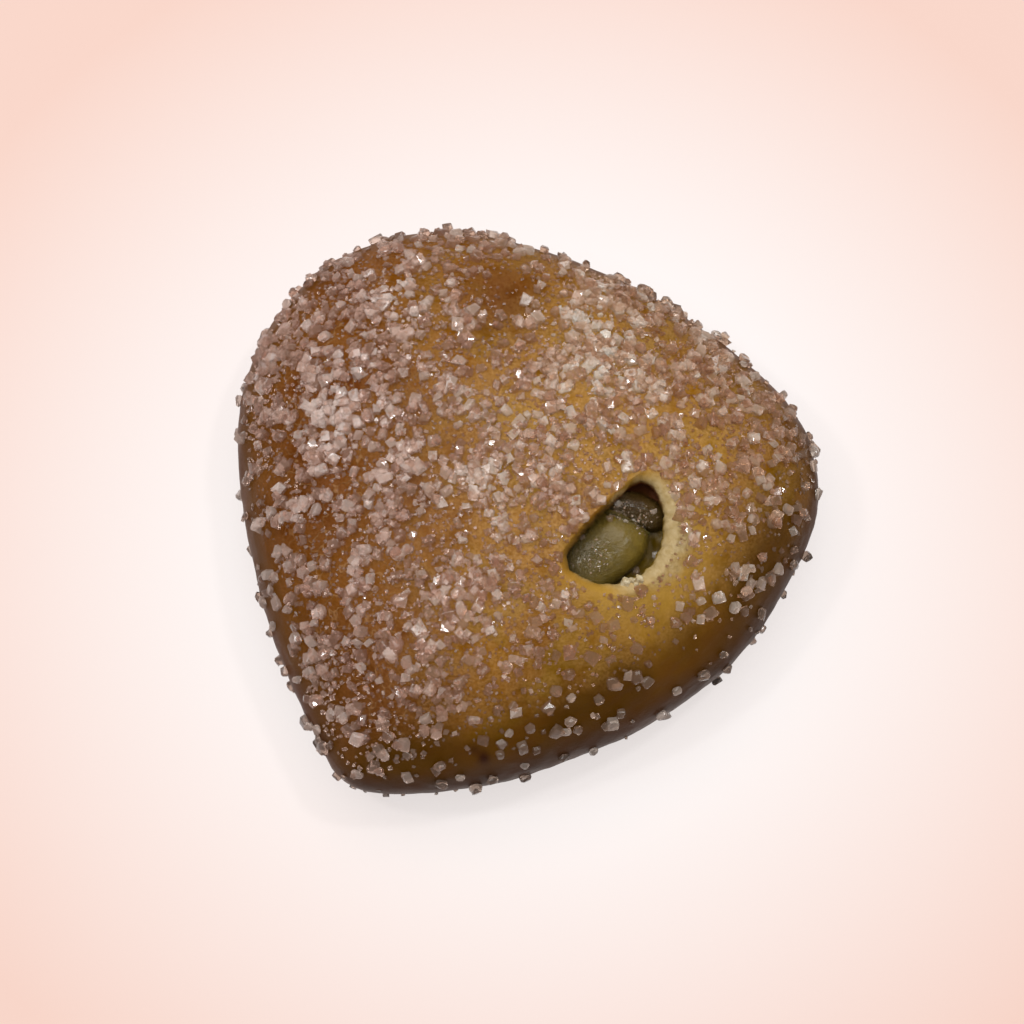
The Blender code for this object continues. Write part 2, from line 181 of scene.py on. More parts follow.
SUGAR_RICH = spot_rows(
    (6, 13, 22, 0.55),
    (-30, 26, 14, 0.25),
    (-16, -22, 14, 0.10),
    (-34, 10, 7, 0.20),
    (19, 5, 11, 0.30),
    (31, -5, 8, 0.30),
)
SUGAR_POOR = spot_rows(
    (32, -32, 16, 0.95),
    (3, -40, 15, 0.80),
    (46, -4, 14, 0.55),
    (-50, 0, 12, 0.40),
    (-36, -14, 18, 0.40),
    (-4, 36, 12, 0.90),
    (-26, -44, 9, 0.60),
    (-22, 12, 9, 0.25),
)
SUGAR_CLUMP = 4.2 * MM
SUGAR_CLUMPING = 1.4
FROSTED_SPOTS = spot_rows(
    (-33.8, 12, 5, 0.5),
    (-23, 36, 4, 0.4),
    (10, 30, 6, 0.5),
    (-9, -1.5, 4, 0.5),
    (33, -17, 5, 0.3),
    (12, 16, 8, 0.2),
    (-34, -4, 15, 0.14),
    (-27, 34, 11, 0.18),
)
LIT_SIDE_SHADE = 0.35  # share of the painted shade that the sugar on the crust's sides gets away from the shaded side
SUGAR_OFF_FROM = 0.85  # the upward part of the normal at which the sugar gets sparser
SUGAR_OFF_BLEND = 0.45
SUGAR_OFF_SIDES = 0.88  # share of the sugar that is missing where the crust turns down
FROSTED_FROM = 0.62  # crystals with a tint from here on are frosted
GRAIN_VARIANTS = 48
GRAIN_CORNER_SHIFT = 0.45
GRAIN_LEAN = 0.45
GRAIN_HALF_HEIGHT = 0.36  # share of a grain's size
HEAP_SEARCH = 6.0 * MM  # how far over the crust a grain looks for sugar under it
HEAP_SETTLING = 0.75  # share of that sugar's height which lifts the grain
STRAY_CRYSTALS = spot_rows(  # x, y, size and tint
    (15.4, -4.2, 1.7, 0.9),
    (14.2, -7, 1.3, 0.5),
    (9.3, -10.2, 1.6, 0.4),
    (18.9, -14.9, 1.8, 0.6),
    (22.4, -12, 1.6, 0.95),
    (21.8, -5.4, 1.2, 0.8),
    (17, -7.3, 1, 0.9),
    (18.4, -6.9, 0.9, 0.95),
)
STRAY_CHIPS = 6
STRAY_SEED = 61
STRAY_BEVEL = 0.12
RIM_CRUMBS = mm(  # x, y and size
    (15.6, -18.4, 1.5),
    (16.8, -18.7, 1.9),
    (17.9, -18.2, 1.3),
    (19.2, -18, 1.6),
    (18.6, -18.9, 1),
)
CRUMB_SEED = 62
CRUMB_BEVEL = 0.16
HEAP_LIMIT = 0.8 * MM  # how far the visual sugar may rise over the part's box
VENT_SIDE_MARGIN = mm(0.6, 2.6)  # bare dough at the vent: least, most


@dataclass
class ApplePiece:
    """A soft-cornered block of cooked apple."""

    name: str
    centre: tuple
    half_size: tuple
    turn: tuple  # degrees
    boxiness: float
    grey: float  # share of grey-brown in its colour


APPLE_PIECES = (
    ApplePiece(
        "apple_piece_front", mm(13.2, -12, 26.7), mm(8.4, 5.5, 4.3), (10, 0, 40), 2.6, 0.0
    ),
    ApplePiece(
        "apple_piece_back", mm(18.6, -4.6, 27), mm(6.2, 3.3, 3.5), (0, 14, -14), 2.5, 1.0
    ),
)

# ---- Where the crust is of another colour: x, y, spread and strength ----
GOLDEN_SPOTS = spot_rows(
    (19, -25, 9, 1.0),
    (31, -14, 8, 0.8),
    (30, 6, 8, 0.7),
    (7, 9, 14, 0.55),
    (12, 30, 9, 0.35),
)
BROWN_SPOTS = spot_rows(
    (-4, 33, 10, 0.9),
    (-40, -4, 9, 0.6),
    (-30, -30, 9, 0.5),
    (-20, 2, 8, 0.35),
    (-36, 20, 8, 0.4),
    (9.4, -3.8, 3.4, 0.75),
    (5.6, -9, 3.6, 0.4),
    (-24, -46, 12, 0.7),
)
REDDISH_FROM = 2.0 * MM  # the crust is redder from here to the left
REDDISH_BLEND = 36.0 * MM
BESIDE_VENT = 4.0 * MM  # where the crust next to the vent is most golden
BESIDE_GOLDEN = 0.8
PALE_BEARING = math.radians(-16)
PALE_WIDTH = 5.0 * MM
PALE_EDGE_PLAY = 0.28
PALE_EDGE_SIZE = 2.0 * MM
BURNT_SPOTS = spot_rows((-7.7, -47.2, 1.1, 1.0), (-9.4, -46, 0.9, 0.6))
# The crust's sides are darker, partly from a darker bake and partly as painted shade; the
# shaded side gets the darkest painted shade.
SIDE_FROM = 0.96  # the upward part of the normal at which the crust's side begins
SIDE_BLEND = 0.8
SHADED_BEARING = math.radians(-62)  # the side that gets the darkest painted shade
SHADE_FROM = 0.98  # upward part of the normal
SHADE_BLEND = 0.26
SHADE_UNEVENNESS = 0.45
SHADE_PATCH = 8.0 * MM
GLOW_WIDTH = 10.0 * MM
NOTCH_FROM = -6.0 * MM  # the vent's far corner begins here
NOTCH_BLEND = 3.0 * MM
INSIDE_FROM = 1.2 * MM  # depth in the vent at which its wall takes the filling's colour
INSIDE_BLEND = 1.6 * MM
INSIDE_MARGIN = 0.3 * MM
SYRUP_SHADE_FROM = 1.6 * MM  # inside the vent's edge
SYRUP_SHADE_BLEND = 1.4 * MM
WET_GRAINS = 54  # on each of the wet spots
WET_GRAIN_SIZE = mm(0.15, 0.46)
WET_GRAIN_TINT = (0.4, 0.8)
WET_SPOTS = spot_rows(  # where the apple is wet and grainy
    (11.6, -13.8, 3.2, 1.0),
    (15.8, -5.4, 1.8, 1.0),
    (19.8, -6.8, 1.8, 0.9),
)

# ---- Relief: height and size of the bumps, coarse to fine ----
CRUST_BUMPS = mm((0.30, 11), (0.16, 4.2), (0.10, 1.9), (0.045, 0.9))
BUMPS_AT_LIP = 0.35  # share of their height that the crust's bumps have at the lip
BUMPS_OFF_LIP = 4.0 * MM
BUMPS_OFF_BASE = 5.0 * MM
LIP_TEARS = mm((0.22, 1.3), (0.12, 0.6))
TEAR_REACH = 2.2 * MM
TEAR_RADIUS = 9.0 * MM
TEAR_STRETCH = 0.35
SYRUP_SWELLS = mm((0.35, 3.1), (0.12, 1.2))
SYRUP_SEEN = 5.0 * MM  # how far outside the vent the syrup's swells reach
APPLE_BUMPS = mm((0.34, 4.5), (0.08, 1.8))
APPLE_DROP = 0.1 * MM  # keeps the lumps inside the part's


# ---- Shapes shared with the part ----
def at_bearing(centre, radius, bearing):
    """The place at a distance from a centre, at a bearing."""
    return centre[0] + radius * np.cos(bearing), centre[1] + radius * np.sin(bearing)


def arc_points(centre, radius, start, end, steps=40):
    """Points along an arc, counterclockwise from angle start to angle end."""
    if end < start:
        end += 2 * math.pi
    angle = np.linspace(start, end, steps, endpoint=False)
    return np.column_stack(at_bearing(centre, radius, angle))


def side_centre(corner, following, side_radius):
    """Centre of the wide arc that touches two corner arcs from outside them both."""
    start, end = np.array(corner[:2]), np.array(following[:2])
    reach_start = side_radius - corner[2]
    reach_end = side_radius - following[2]
    span = np.linalg.norm(end - start)
    along = (end - start) / span
    foot = (reach_start**2 - reach_end**2 + span**2) / (2 * span)
    inward = np.array((-along[1], along[0]))
    return start + along * foot + inward * math.sqrt(reach_start**2 - foot**2)


def rounded_triangle(corners, side_radii):
    """Points of a smooth outline of three corner arcs and three side arcs."""
    count = len(corners)
    centres = [
        side_centre(corners[i], corners[(i + 1) % count], side_radii[i]) for i in range(count)
    ]
    points = []
    for i, (x, y, radius) in enumerate(corners):
        here = np.array((x, y))
        following = np.array(corners[(i + 1) % count][:2])
        start = math.atan2(*(here - centres[i - 1])[::-1])
        turn = math.atan2(*(here - centres[i])[::-1])
        end = math.atan2(*(following - centres[i])[::-1])
        points.append(arc_points(here, radius, start, turn))
        points.append(arc_points(centres[i], side_radii[i], turn, end))
    return np.concatenate(points)


def polar_radius(outline, bearing):
    """Distance from (0, 0) to the outline at each bearing."""
    angle = np.arctan2(outline[:, 1], outline[:, 0])
    radius = np.hypot(outline[:, 0], outline[:, 1])
    return np.interp(bearing, angle, radius, period=2 * math.pi)


def angle_between(a, b):
    """Difference of two angles, from -pi to pi."""
    return (a - b + math.pi) % (2 * math.pi) - math.pi


PLAN_OUTLINE = rounded_triangle(PLAN_CORNERS, PLAN_SIDE_RADII)
VENT_OUTLINE = rounded_triangle(VENT_CORNERS, VENT_SIDE_RADII)


def plan_radius(bearing):
    """Distance from the origin to the pastry's widest outline."""
    radius = polar_radius(PLAN_OUTLINE, bearing)
    for middle, offset, spread in PLAN_SWELLS:
        radius = radius + offset * np.exp(-((angle_between(bearing, middle) / spread) ** 2))
    return radius


def outline_shares():
    """Bearings round the outline, and the share of its length up to each of them."""
    bearing = np.linspace(0, 2 * math.pi, OUTLINE_SAMPLES)
    x, y = at_bearing((0, 0), plan_radius(bearing), bearing)
    length = np.concatenate(((0,), np.cumsum(np.hypot(np.diff(x), np.diff(y)))))
    return bearing, length / length[-1]


BEARINGS, BEARING_SHARES = outline_shares()


def bearing_at(along):
    """Bearing of the point a share along the outline's length."""
    return np.interp(along % 1.0, BEARING_SHARES, BEARINGS)


def lerp(a, b, t):
    """The value a share t of the way from a to b."""
    return a + (b - a) * t


def smooth(share):
    """Eases a share from 0 to 1."""
    share = np.clip(share, 0, 1)
    return share**2 * (3 - 2 * share)


def dome(x, y, margin, rise, plan_power):
    """Height of a crown over its own edge, which lies margin inside the outline."""
    share = np.hypot(x, y) / (plan_radius(np.arctan2(y, x)) - margin)
    share = np.minimum(share, 1.0)
    return rise * (1 - share**plan_power) ** (1 / CROWN_RISE_POWER)


def vent_distance(x, y):
    """How far a point lies outside the vent's edge, measured from the vent's middle."""
    dx, dy = x - VENT_CENTRE[0], y - VENT_CENTRE[1]
    return np.hypot(dx, dy) - polar_radius(VENT_OUTLINE, np.arctan2(dy, dx))


def each_spot(x, y, entries):
    """How much a point lies in each soft round spot: x, y, spread and strength."""
    for centre_x, centre_y, spread, strength in entries:
        away = np.hypot(x - centre_x, y - centre_y)
        yield strength * np.exp(-((away / spread) ** 2))


def spots(x, y, entries):
    """Sum of soft round spots."""
    return sum(each_spot(x, y, entries))


def crust_relief(x, y):
    """Low mounds and hollows, and the swelling round the vent."""
    relief = LIP_SWELL * np.exp(-((np.maximum(vent_distance(x, y), 0) / CRUST) ** 2))
    for swell in each_spot(x, y, CRUST_SWELLS):
        relief = relief + swell
    share = np.minimum(np.hypot(x, y) / plan_radius(np.arctan2(y, x)), 1.0)
    return relief * (1 - share**4)


def top_height(x, y):
    """Height of the outer crust over a point of the plan."""
    crown = dome(x, y, 0, HEIGHT - WIDEST_LEVEL, CROWN_PLAN_POWER)
    return WIDEST_LEVEL + crown + crust_relief(x, y)


def crust_thickness(x, y):
    """The crust is thinner where it was stretched open at the vent."""
    share = np.clip(vent_distance(x, y) / VENT_THINNING, 0, 1)
    return lerp(CRUST_AT_VENT, CRUST, share)


def pocket_ceiling(x, y, clearance=0.0):
    """Height of the pocket's ceiling, or of the filling that stays clear of it."""
    rise = top_height(x, y) - crust_thickness(x, y) - clearance - POCKET_WIDEST_LEVEL
    margin = POCKET_WALL + clearance
    return POCKET_WIDEST_LEVEL + dome(x, y, margin, rise, POCKET_PLAN_POWER)


def filling_top(x, y):
    """Height of the filling: clear of the pocket's ceiling, and lower under the vent."""
    sunk = smooth(0.5 - vent_distance(x, y) / SYRUP_SLOPE)
    return pocket_ceiling(x, y, CLEARANCE) - SYRUP_DROP * sunk


def toward(bearing, middle):
    """1 at the middle bearing, 0 opposite to it."""
    return 0.5 + 0.5 * np.cos(bearing - middle)


def lip_reach(bearing):
    """How far the vent's rounded lip reaches outward at each bearing."""
    return lerp(LIP_NARROW, LIP_WIDE, toward(bearing, LIP_WIDE_BEARING))


def vent_rim(bearing, reach):
    """Plan point at a distance outside the vent's edge."""
    return at_bearing(VENT_CENTRE, polar_radius(VENT_OUTLINE, bearing) + reach, bearing)


@dataclass
class Shell:
    """A closed surface with coordinates: along runs round it, rise up to the vent."""

    margin: float
    bottom: float
    widest_level: float
    bottom_inset: float
    height: Callable
    reach: Callable

    def place(self, along, rise):
        """The points of the surface at its coordinates, each of them from 0 to 1."""
        bearing = bearing_at(along)
        side = np.clip(rise / SIDE_SHARE, 0, 1)
        crown = np.clip((rise - SIDE_SHARE) / (1 - SIDE_SHARE), 0, 1)
        droop = (1 - side) * math.pi / 2
        radius = plan_radius(bearing) - self.margin
        radius = radius - self.bottom_inset * (1 - np.cos(droop))
        rim_x, rim_y = vent_rim(bearing, self.reach(bearing))
        outward = np.cos(crown * math.pi / 2)
        x = lerp(rim_x, radius * np.cos(bearing), outward)
        y = lerp(rim_y, radius * np.sin(bearing), outward)
        low = lerp(self.widest_level, self.bottom, np.sin(droop))
        z = np.where(crown > 0, self.height(x, y), low)
        return np.stack((x, y, z), axis=-1)

    def rows(self, columns, side_rows, crown_rows):
        """Loops of points from the bottom up to the vent."""
        low = np.linspace(0, SIDE_SHARE, side_rows, endpoint=False)
        rises = np.concatenate((low, np.linspace(SIDE_SHARE, 1, crown_rows + 1)))
        along = np.arange(columns) / columns
        return [self.place(along, np.full(columns, rise)) for rise in rises]

    def slope(self, along, rise):
        """Outward normals, not of unit length: their length is the local area."""
        ahead = self.place(along + SLOPE_STEP, rise) - self.place(along - SLOPE_STEP, rise)
        above = self.place(along, rise + SLOPE_STEP) - self.place(along, rise - SLOPE_STEP)
        return np.cross(ahead, above)


SKIN = Shell(0.0, 0.0, WIDEST_LEVEL, BASE_INSET, top_height, lip_reach)
POCKET = Shell(
    POCKET_WALL, POCKET_FLOOR, POCKET_WIDEST_LEVEL, POCKET_INSET, pocket_ceiling, np.zeros_like
)
FILLING = Shell(
    POCKET_WALL + CLEARANCE,
    POCKET_FLOOR + CLEARANCE,
    POCKET_WIDEST_LEVEL,
    POCKET_INSET,
    filling_top,
    np.zeros_like,
)


def lip_rows(columns):
    """Loops of the vent's rounded lip, from the top surface down to the vent's wall."""
    bearing = bearing_at(np.arange(columns) / columns)
    reach = lip_reach(bearing)
    start = top_height(*vent_rim(bearing, reach))
    made = []
    for turn in np.linspace(0, math.pi / 2, LIP_ROWS + 1)[1:]:
        x, y = vent_rim(bearing, reach * (1 - math.sin(turn)))
        made.append(np.stack((x, y, start - reach * LIP_DEPTH * (1 - math.cos(turn))), -1))
    return made


def pool_rows(columns):
    """Loops of the filling's surface from the vent's edge in towards its middle."""
    bearing = bearing_at(np.arange(columns) / columns)
    rim_x, rim_y = vent_rim(bearing, 0)
    made = []
    for share in np.arange(1, POOL_ROWS) / POOL_ROWS:
        x, y = lerp(rim_x, VENT_CENTRE[0], share), lerp(rim_y, VENT_CENTRE[1], share)
        made.append(np.stack((x, y, filling_top(x, y)), -1))
    return made


# ---- Noise for the relief ----
def lattice_values(cells, seed):
    """A repeatable value from 0 to 1 for each whole-numbered cell."""
    x, y, z = (cells[..., i].astype(np.int64) for i in range(3))
    mixed = (x * 73856093) ^ (y * 19349663) ^ (z * 83492791) ^ (seed * 2654435761)
    mixed = (mixed ^ (mixed >> 13)) * 1274126177
    return ((mixed ^ (mixed >> 16)) & 0xFFFF) / 0xFFFF


def noise(points, size, seed):
    """Smooth noise from -1 to 1 with bumps of about the given size."""
    scaled = points / size
    cell = np.floor(scaled)
    inside = smooth(scaled - cell)
    total = np.zeros(points.shape[:-1])
    for corner in np.ndindex(2, 2, 2):
        weight = np.prod(np.where(corner, inside, 1 - inside), axis=-1)
        total += weight * lattice_values(cell + corner, seed)
    return 2 * total - 1


def layered_noise(points, layers, seed):
    """Noise of several sizes, from the height and size of each layer's bumps."""
    return sum(
        height * noise(points, size, seed + number)
        for number, (height, size) in enumerate(layers)
    )


# ---- Meshes ----
def add_object(name, data):
    """Puts a mesh, a light or a camera into the scene."""
    made = bpy.data.objects.new(name, data)
    bpy.context.scene.collection.objects.link(made)
    return made


def loft(name, rows):
    """A closed, smooth mesh through loops of points, capped at the first and the last."""
    columns = len(rows[0])
    index = np.arange(len(rows) * columns).reshape(len(rows), columns)
    lower, upper = index[:-1], index[1:]
    turned = (np.roll(lower, -1, axis=1), np.roll(upper, -1, axis=1))
    quads = np.stack((lower, *turned, upper), axis=-1)
    faces = quads.reshape(-1, 4).tolist() + [index[0][::-1].tolist(), index[-1].tolist()]
    mesh = bpy.data.meshes.new(name)
    mesh.from_pydata(np.concatenate(rows).tolist(), [], faces)
    mesh.shade_smooth()
    return mesh


def mesh_of(bm, name):
    """Turns an editable mesh into a mesh."""
    mesh = bpy.data.meshes.new(name)
    bm.to_mesh(mesh)
    bm.free()
    return mesh


def read_points(mesh):
    """A mesh's points and their normals."""
    points = np.empty(len(mesh.vertices) * 3)
    normals = np.empty(len(mesh.vertices) * 3)
    mesh.vertices.foreach_get("co", points)
    mesh.vertices.foreach_get("normal", normals)
    return points.reshape(-1, 3), normals.reshape(-1, 3)


def write_points(mesh, points):
    """Moves a mesh's points."""
    mesh.vertices.foreach_set("co", points.ravel())
    mesh.update()


def set_mask(mesh, name, values):
    """Stores a number for each point, which the material reads by name."""
    layer = mesh.attributes.new(name, "FLOAT", "POINT")
    layer.data.foreach_set("value", np.ascontiguousarray(values, dtype=np.float32))


# ---- Crust ----
def vent_bearing(x, y):
    """Bearing of a point seen from the vent's middle."""
    return np.arctan2(y - VENT_CENTRE[1], x - VENT_CENTRE[0])


def vent_facing(x, y):
    """1 on the side of the vent where its lip is widest, 0 on the other side."""
    return toward(vent_bearing(x, y), LIP_WIDE_BEARING)


def side_shade(normal):
    """How much a place on the crust is turned to the side, from 0 to 1."""
    return smooth((SIDE_FROM - normal[..., 2]) / SIDE_BLEND)


def turned_to_shade(normal):
    """1 where the crust turns to the side with the darkest painted shade, 0 on the other side.
    """
    return toward(np.arctan2(normal[..., 1], normal[..., 0]), SHADED_BEARING)


def painted_crust_shade(normal):
    """How much painted shade the crust gets where it turns down, most on its shaded side."""
    return smooth((SHADE_FROM - normal[..., 2]) / SHADE_BLEND) * turned_to_shade(normal)


def crust_bumps(points):
    """How far the glazed, baked surface stands out of its plain shape."""
    x, y, z = points.T
    off_lip = smooth(vent_distance(x, y) / BUMPS_OFF_LIP)
    share = smooth(z / BUMPS_OFF_BASE) * lerp(BUMPS_AT_LIP, 1.0, off_lip)
    return layered_noise(points, CRUST_BUMPS, 1) * share


def torn_lip(points):
    """Short fibres and small notches where the dough tore open round the vent."""
    x, y, z = points.T
    away = vent_distance(x, y)
    around = vent_bearing(x, y) * TEAR_RADIUS
    ring = np.stack((around, away * TEAR_STRETCH, z * TEAR_STRETCH), axis=-1)
    return np.exp(-((away / TEAR_REACH) ** 2)) * layered_noise(ring, LIP_TEARS, 5)


def pale_rim(x, y):
    """Where bare dough shows at the vent: on its right, its far end and a little below."""
    facing = toward(vent_bearing(x, y), PALE_BEARING)
    flat = np.stack((x, y, np.zeros_like(x)), axis=-1)
    edge = PALE_EDGE_PLAY * noise(flat, PALE_EDGE_SIZE, 43)
    return smooth(1.5 * facing**1.6 + edge - np.maximum(vent_distance(x, y), 0) / PALE_WIDTH)


def golden_rim(x, y):
    """Where the crust is paler round the bare dough."""
    return smooth(0.25 + vent_facing(x, y) - np.maximum(vent_distance(x, y), 0) / GLOW_WIDTH)


def crust_masks(mesh, points, normals):
    """Stores how much the crust is of each of its colours at every point."""
    x, y, z = points.T
    away = vent_distance(x, y)
    beside = np.exp(-(((away - BESIDE_VENT) / BESIDE_VENT) ** 2)) * vent_facing(x, y)
    uneven = 1 + SHADE_UNEVENNESS * noise(points, SHADE_PATCH, 47)
    in_vent = smooth((top_height(x, y) - z - INSIDE_FROM) / INSIDE_BLEND)
    masks = {
        "pale": pale_rim(x, y),
        "glow": golden_rim(x, y),
        "golden": spots(x, y, GOLDEN_SPOTS) + BESIDE_GOLDEN * beside,
        "brown": spots(x, y, BROWN_SPOTS),
        # side and shaded carry painted shade: the sides partly baked darker, the shaded side
        # mottled painted shade
        "side": side_shade(normals),
        "shaded": painted_crust_shade(normals) * uneven,
        "burnt": spots(x, y, BURNT_SPOTS) * (z > WIDEST_LEVEL),
        "reddish": smooth((REDDISH_FROM - x) / REDDISH_BLEND),
        "melted": film_density(points, normals),
        "inside": in_vent * (away < INSIDE_MARGIN),
    }
    for name, values in masks.items():
        set_mask(mesh, name, np.clip(values, 0, 1))


def make_crust():
    """The crust from its flat base over the crown and into the vent."""
    rows = SKIN.rows(CRUST_COLUMNS, *SKIN_ROWS) + lip_rows(CRUST_COLUMNS)
    rows += POCKET.rows(CRUST_COLUMNS, *POCKET_ROWS)[::-1]
    mesh = loft("crust", rows)
    points, normals = read_points(mesh)
    lift = crust_bumps(points) + torn_lip(points)
    write_points(mesh, points + normals * lift[:, None])
    crust_masks(mesh, points, normals)
    crust = add_object("crust", mesh)
    mesh.materials.append(crust_material())
    return crust


# ---- Sugar ----
def sugar_density(points, upward, vent_margin=SUGAR_VENT_MARGIN, avoids=1.0):
    """How likely a crystal sticks at each point of the crust, from 0 to 1."""
    x, y, z = points.T
    density = lerp(SUGAR_ON_SIDE, 1.0, np.clip(upward / SUGAR_TOP_SLOPE, 0, 1))
    density *= np.clip(z / WIDEST_LEVEL, 0, 1)
    density *= (z > SUGAR_LOWEST) & (vent_distance(x, y) > vent_margin)
    for bare in each_spot(x, y, SUGAR_BARE):
        density *= 1 - avoids * bare
    return density


def bare_margin(x, y):
    """Width of the bare dough that the sugar leaves free at the vent."""
    return lerp(*VENT_SIDE_MARGIN, vent_facing(x, y))


def heap_density(points, normals):
    """The density of the sugar on and between the coarse crystals: clumped, less even."""
    x, y = points[:, 0], points[:, 1]
    upward = normals[:, 2]
    share = SUGAR_BASE + spots(x, y, SUGAR_RICH)
    for poor in each_spot(x, y, SUGAR_POOR):
        share = share * (1 - poor)
    share = share * (1 + SUGAR_CLUMPING * noise(points, SUGAR_CLUMP, 41))
    turned_down = smooth((SUGAR_OFF_FROM - upward) / SUGAR_OFF_BLEND)
    share = share * (1 - SUGAR_OFF_SIDES * turned_down)
    return sugar_density(points, upward, bare_margin(x, y)) * np.clip(share, 0, 1)


def film_density(points, normals):
    """The density of the melted sugar: even on top, none where the crust turns down."""
    x, y = points[:, 0], points[:, 1]
    bare = np.maximum(painted_crust_shade(normals), smooth(side_shade(normals) * FILM_OFF_SIDES))
    bare = np.maximum(bare, FILM_OFF_POOR * np.clip(spots(x, y, SUGAR_POOR), 0, 1))
    density = sugar_density(points, normals[:, 2], bare_margin(x, y), FILM_AVOIDS)
    return density * (1 - bare)


def coarse_density(points, normals):
    """The density of the crystals that the part has."""
    return sugar_density(points, normals[:, 2])


def sugar_places(kind, density):
    """Places on the crust with their normals and sizes, largest first, all apart."""
    rng = np.random.default_rng(kind.seed)
    along, rise, chance = rng.random((3, kind.tries))
    points, slopes = SKIN.place(along, rise), SKIN.slope(along, rise)
    area = np.linalg.norm(slopes, axis=1)
    normals = slopes / area[:, None]
    sticks = chance * area.max() < area * density(points, normals)
    picks = np.flatnonzero(sticks)
    if not kind.spacing:
        kept = picks[: kind.count]
        return points[kept], normals[kept], np.linspace(kind.largest, kind.smallest, len(kept))
    kept, sizes = [], []
    for pick in picks:
        size = lerp(kind.largest, kind.smallest, len(kept) / kind.count)
        away = np.linalg.norm(points[kept] - points[pick], axis=1)
        if np.all(away > (np.array(sizes) + size) * kind.spacing):
            kept.append(pick)
            sizes.append(size)
        if len(kept) == kind.count:
            break
    return points[kept], normals[kept], np.array(sizes)


def hull_shape(corners, bevel):
    """The hull of some corners with its edges broken: points and faces."""
    bm = bmesh.new()
    for corner in corners:
        bm.verts.new(corner)
    bmesh.ops.convex_hull(bm, input=bm.verts)
    loose = [vert for vert in bm.verts if not vert.link_faces]
    bmesh.ops.delete(bm, geom=loose, context="VERTS")
    bmesh.ops.recalc_face_normals(bm, faces=bm.faces)
    if bevel:
        bmesh.ops.bevel(
            bm, geom=bm.edges[:], offset=bevel, segments=1, affect="EDGES", clamp_overlap=True
        )
    bm.verts.index_update()
    points = np.array([vert.co[:] for vert in bm.verts])
    faces = [[vert.index for vert in face.verts] for face in bm.faces]
    bm.free()
    return points, faces


def grain_shape(rng, bevel, chip_count):
    """A chipped crystal about one unit long."""
    half = np.array((0.5, rng.uniform(0.36, 0.48), rng.uniform(0.28, 0.42)))
    signs = np.array(list(np.ndindex(2, 2, 2))) * 2 - 1
    corners = signs * half * rng.uniform(GRAIN_CORNER_SHIFT, 1.0, (8, 3))
    chips = rng.normal(size=(chip_count, 3))
    chips /= np.linalg.norm(chips, axis=1, keepdims=True)
    chips *= half * rng.uniform(0.85, 1.2, (chip_count, 1))
    return hull_shape(np.concatenate((corners, chips)), bevel)


class CrystalHeap:
    """Crystals gathered into one mesh, with a tint and a painted shade for each."""

    def __init__(self):
        self.points, self.faces, self.frosted, self.tints, self.shades = [], [], [], [], []
        self.count = 0

    def add(self, points, faces, tint, shade):
        """Adds one crystal."""
        self.points.append(points)
        self.faces.extend([index + self.count for index in face] for face in faces)
        self.frosted.append(np.full(len(faces), tint > FROSTED_FROM))
        self.tints.append(np.full(len(points), tint))
        self.shades.append(np.full(len(points), shade))
        self.count += len(points)

    def finish(self, name, materials):
        """The object with all the crystals, in a clear and a frosted material."""
        mesh = bpy.data.meshes.new(name)
        mesh.from_pydata(np.concatenate(self.points).tolist(), [], self.faces)
        set_mask(mesh, "tint", np.concatenate(self.tints))
        set_mask(mesh, "shade", np.concatenate(self.shades))
        for material in materials:
            mesh.materials.append(material)
        frosted = np.concatenate(self.frosted).astype(np.int32)
        mesh.polygons.foreach_set("material_index", frosted)
        heap = add_object(name, mesh)
        heap.visible_shadow = False
        return heap


def painted_grain_shade(normal):
    """How much painted shade a crystal gets where the crust turns down, most on the shaded
    side.
    """
    return side_shade(normal) * lerp(LIT_SIDE_SHADE, 1.0, turned_to_shade(normal))


def tint_at(rng, point, frost):
    """A crystal's tint, from clear to frosted, which grow together in some places."""
    return min(rng.random() * frost + float(spots(point[0], point[1], FROSTED_SPOTS)), 1.0)


def make_coarse_sugar(materials):
    """The coarse crystals, where the part has them."""
    heap = CrystalHeap()
    rng = np.random.default_rng(COARSE.seed)
    tints = np.random.default_rng(COARSE.seed + 1)
    for point, normal, size in zip(*sugar_places(COARSE, coarse_density)):
        size *= rng.uniform(SUGAR_SIZE_PLAY, 1.0)
        width = rng.uniform(*SUGAR_HALF_WIDTH)
        half = np.array((0.5, width, rng.uniform(*SUGAR_HALF_THICKNESS))) * size
        corners = [
            (np.array(corner) * 2 - 1) * half * rng.uniform(SUGAR_CORNER_SHIFT, 1.0, 3)
            for corner in np.ndindex(2, 2, 2)
        ]
        shape, faces = hull_shape(corners, COARSE.bevel * size)
        lean = Euler((*rng.uniform(-SUGAR_LEAN, SUGAR_LEAN, 2), rng.uniform(0, 2 * math.pi)))
        turn = Vector(normal).to_track_quat("Z", "Y").to_matrix() @ lean.to_matrix()
        middle = point + normal * half[2] * (1 - 2 * SUGAR_SUNK)
        placed = shape @ np.array(turn).T + middle
        heap.add(placed, faces, tint_at(tints, point, COARSE.frost), painted_grain_shade(normal))
    return heap.finish(COARSE.name, materials)


def resting_level(trees, point, normal, reach):
    """Height over a point of the crust at which the sugar already there ends."""
    start = Vector(point + normal * reach)
    levels = [0.0]
    for tree in trees:
        _, _, _, distance = tree.ray_cast(start, Vector(-normal), reach)
        if distance is not None:
            levels.append(reach - distance)
    return max(levels)


def grain_rise(size):
    """How high a grain's middle lies over what it rests on."""
    return size * GRAIN_HALF_HEIGHT * (1 - 2 * SUGAR_SUNK)


def grain_axes(rng, normal):
    """Three axes for a grain that lies on the crust with a random turn and lean."""
    up = normal + rng.uniform(-GRAIN_LEAN, GRAIN_LEAN, 3)
    up /= np.linalg.norm(up)
    across = np.cross(up, rng.normal(size=3))
    across /= np.linalg.norm(across)
    return np.stack((across, np.cross(up, across), up))


